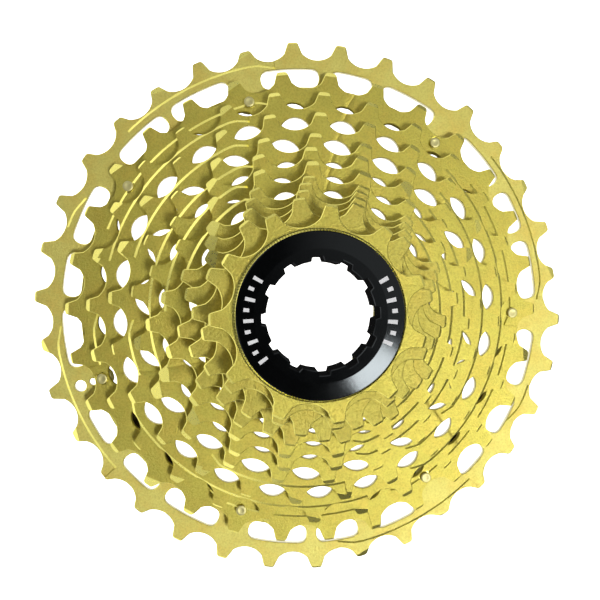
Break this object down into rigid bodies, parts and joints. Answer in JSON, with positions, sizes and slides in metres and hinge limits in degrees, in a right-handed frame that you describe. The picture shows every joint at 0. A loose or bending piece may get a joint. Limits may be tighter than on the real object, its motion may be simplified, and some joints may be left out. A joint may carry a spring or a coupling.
{
  "type": "cassette sprocket",
  "caption": "Stack of stepped bicycle chain sprockets with arched lightening holes, spacer rings and a notched lockring that unscrews.",
  "frame": {"origin": "on the bore's axis, in the rear face of the largest sprocket, which the part lies on", "axes": "+Z along the bore's axis, from the largest sprocket to the lockring; X and Y in the plane of the sprockets"},
  "size_m": [0.1388, 0.1384, 0.0426],
  "materials": {
    "gold_coated_steel": "gold nitride coating, satin, fine grain",
    "spacer_steel": "gold nitride coating, satin",
    "rivet_steel": "satin",
    "washer_steel": "satin",
    "black_anodised": "black anodised, satin"
  },
  "bodies": {
    "cassette": {"sprocket_34t": "gold_coated_steel", "sprocket_30t": "gold_coated_steel", "sprocket_27t": "gold_coated_steel", "sprocket_24t": "gold_coated_steel", "sprocket_21t": "gold_coated_steel", "sprocket_19t": "gold_coated_steel", "sprocket_17t": "gold_coated_steel", "sprocket_15t": "gold_coated_steel", "sprocket_14t": "gold_coated_steel", "sprocket_13t": "gold_coated_steel", "sprocket_12t": "gold_coated_steel", "sprocket_11t": "gold_coated_steel", "spacer_30_27": "spacer_steel", "spacer_27_24": "spacer_steel", "spacer_24_21": "spacer_steel", "spacer_21_19": "spacer_steel", "spacer_19_17": "spacer_steel", "spacer_17_15": "spacer_steel", "spacer_15_14": "spacer_steel", "carrier_rivet_1": "rivet_steel", "carrier_rivet_2": "rivet_steel", "carrier_rivet_3": "rivet_steel", "carrier_rivet_4": "rivet_steel", "carrier_rivet_5": "rivet_steel", "carrier_rivet_6": "rivet_steel", "carrier_rivet_7": "rivet_steel"},
    "washer": {"lockring_washer": "washer_steel"},
    "lockring": {"lockring": "black_anodised"}
  },
  "joints": [
    {"name": "lockring_travel", "type": "slide", "parent": "cassette", "child": "washer", "axis": [0, 0, 1], "range_m": [0, 0.0076]},
    {"name": "lockring_turn", "type": "hinge", "parent": "washer", "child": "lockring", "pos_m": [0, 0, 0.0414], "axis": [0, 0, 1], "range_deg": [0, 2700]}
  ],
  "couplings": [
    {"joint": "lockring_travel", "follows": "lockring_turn", "m_per_rad": 0.00015915}
  ]
}
